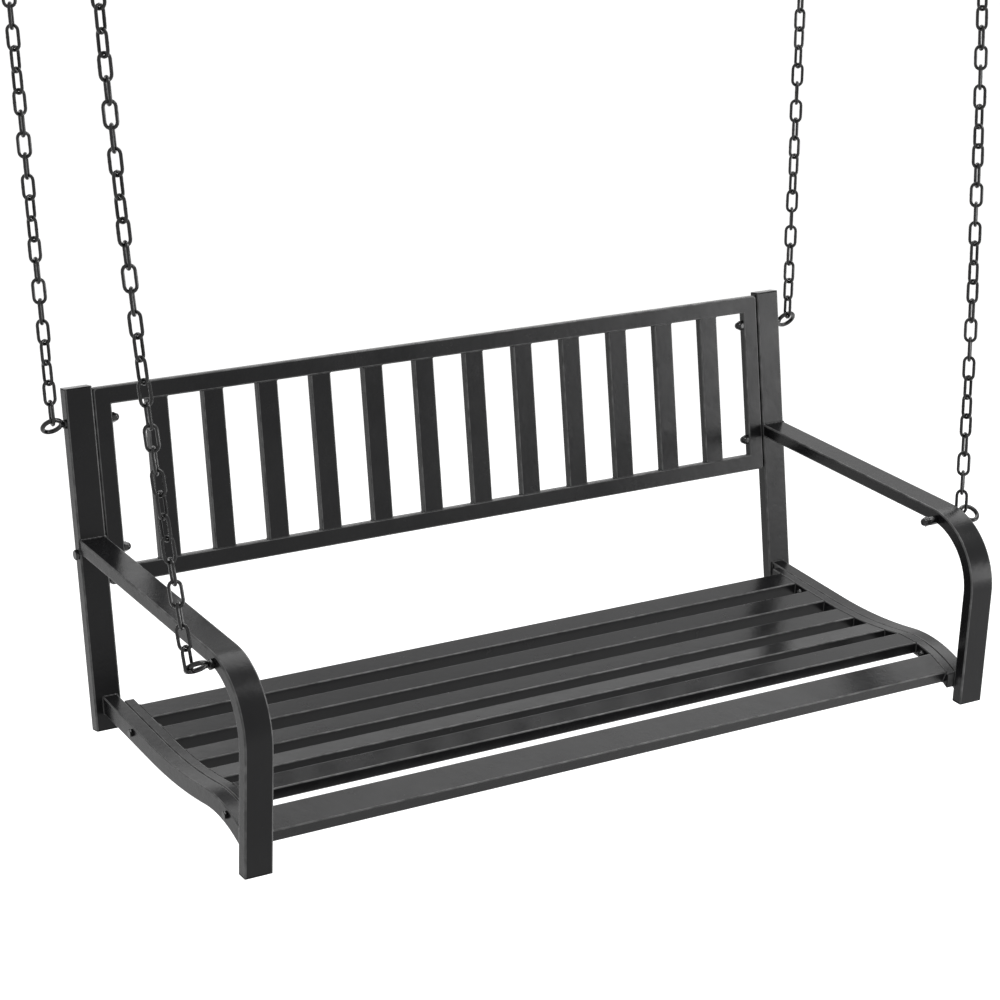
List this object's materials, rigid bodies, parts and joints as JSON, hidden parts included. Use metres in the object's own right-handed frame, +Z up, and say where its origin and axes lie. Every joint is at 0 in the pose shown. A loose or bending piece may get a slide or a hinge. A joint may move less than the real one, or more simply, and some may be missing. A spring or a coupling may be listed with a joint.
{
  "type": "porch swing",
  "caption": "Slatted tubular metal porch swing bench with armrests, hung from ceiling eyes on welded link chains.",
  "frame": {"origin": "on the ceiling plane, midway between the two rear ceiling studs; the swing hangs below it", "axes": "+X along the bench, towards the right as seen from the front; +Y to the back; +Z up along the studs"},
  "size_m": [1.3866, 0.5322, 1.2228],
  "materials": {
    "frame": "satin black powder coat",
    "chain": "satin black powder coat",
    "fasteners": "glossy black coating"
  },
  "bodies": {
    "ceiling": {"front_left_ceiling_eye": "fasteners", "front_right_ceiling_eye": "fasteners", "rear_left_ceiling_eye": "fasteners", "rear_right_ceiling_eye": "fasteners"},
    "front_left_chain": {"front_left_chain": "chain"},
    "front_right_chain": {"front_right_chain": "chain"},
    "rear_left_chain": {"rear_left_chain": "chain"},
    "rear_right_chain": {"rear_right_chain": "chain"},
    "bench": {"arm_nuts": "fasteners", "arm_spacers": "fasteners", "backrest_bolts": "fasteners", "backrest_bottom_rail": "frame", "backrest_slat_01": "frame", "backrest_slat_02": "frame", "backrest_slat_03": "frame", "backrest_slat_04": "frame", "backrest_slat_05": "frame", "backrest_slat_06": "frame", "backrest_slat_07": "frame", "backrest_slat_08": "frame", "backrest_slat_09": "frame", "backrest_slat_10": "frame", "backrest_slat_11": "frame", "backrest_slat_12": "frame", "backrest_top_rail": "frame", "cap_nuts": "fasteners", "foot_caps": "frame", "front_eye_bolts": "fasteners", "left_arm_tube": "frame", "left_backrest_stile": "frame", "left_rear_post": "frame", "left_seat_rail": "frame", "left_seat_side_tube": "frame", "post_caps": "frame", "rear_eye_bolts": "fasteners", "right_arm_tube": "frame", "right_backrest_stile": "frame", "right_rear_post": "frame", "right_seat_rail": "frame", "right_seat_side_tube": "frame", "seat_bolts": "fasteners", "seat_slat_1": "frame", "seat_slat_2": "frame", "seat_slat_3": "frame", "seat_slat_4": "frame", "seat_slat_5": "frame", "seat_slat_6": "frame", "seat_tube_plugs": "frame"}
  },
  "joints": [
    {"name": "rear_left_chain_swing", "type": "hinge", "parent": "ceiling", "child": "rear_left_chain", "pos_m": [-0.6474, 0, -0.06134], "axis": [1, 0, 0], "range_deg": [-15, 15]},
    {"name": "bench_swing", "type": "hinge", "parent": "rear_left_chain", "child": "bench", "pos_m": [-0.6263, 0.01675, -0.64566], "axis": [1, 0, 0], "range_deg": [-15, 15]},
    {"name": "rear_right_chain_swing", "type": "hinge", "parent": "ceiling", "child": "rear_right_chain", "pos_m": [0.6474, 0, -0.06094], "axis": [1, 0, 0], "range_deg": [-15, 15]},
    {"name": "front_left_chain_swing", "type": "hinge", "parent": "ceiling", "child": "front_left_chain", "pos_m": [-0.6803, -0.3792, -0.05197], "axis": [1, 0, 0], "range_deg": [-15, 15]},
    {"name": "front_right_chain_swing", "type": "hinge", "parent": "ceiling", "child": "front_right_chain", "pos_m": [0.6803, -0.3792, -0.04918], "axis": [1, 0, 0], "range_deg": [-15, 15]}
  ],
  "couplings": [
    {"joint": "bench_swing", "follows": "rear_left_chain_swing", "ratio": -0.9064},
    {"joint": "rear_right_chain_swing", "follows": "rear_left_chain_swing", "ratio": 1},
    {"joint": "front_left_chain_swing", "follows": "rear_left_chain_swing", "ratio": 0.7288},
    {"joint": "front_right_chain_swing", "follows": "rear_left_chain_swing", "ratio": 0.7232}
  ]
}
